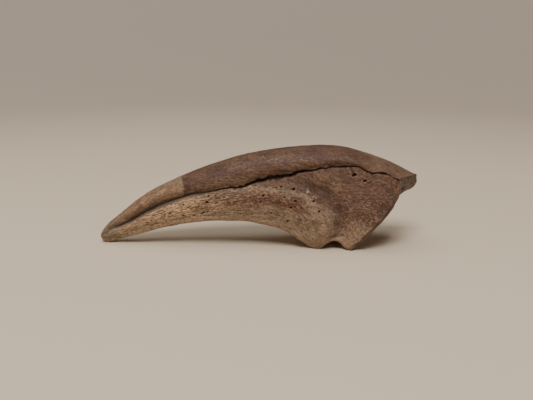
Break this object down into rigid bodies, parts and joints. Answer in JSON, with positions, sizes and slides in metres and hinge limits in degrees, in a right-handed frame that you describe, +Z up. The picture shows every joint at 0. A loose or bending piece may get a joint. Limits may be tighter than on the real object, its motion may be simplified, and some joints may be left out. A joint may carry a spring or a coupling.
{
  "type": "fossil tyrannosaur toe claw",
  "caption": "Long curved fossil toe claw, rounded above and flat below, with a deep side groove that turns into a crack, a low heel, a hollowed joint face and a broken upper lip.",
  "frame": {"origin": "middle of the claw's box, on the surface that it stands on", "axes": "+X from the tip to the joint end, +Y from the near flank to the far flank, +Z up"},
  "size_m": [0.1214, 0.0278, 0.0373],
  "materials": {
    "fossil_bone": "mineralised bone, warm brown with tan flanks and a dark groove, porous and dull with a faint sheen on the worn back"
  },
  "bodies": {
    "root": {"claw": "fossil_bone"}
  },
  "joints": []
}
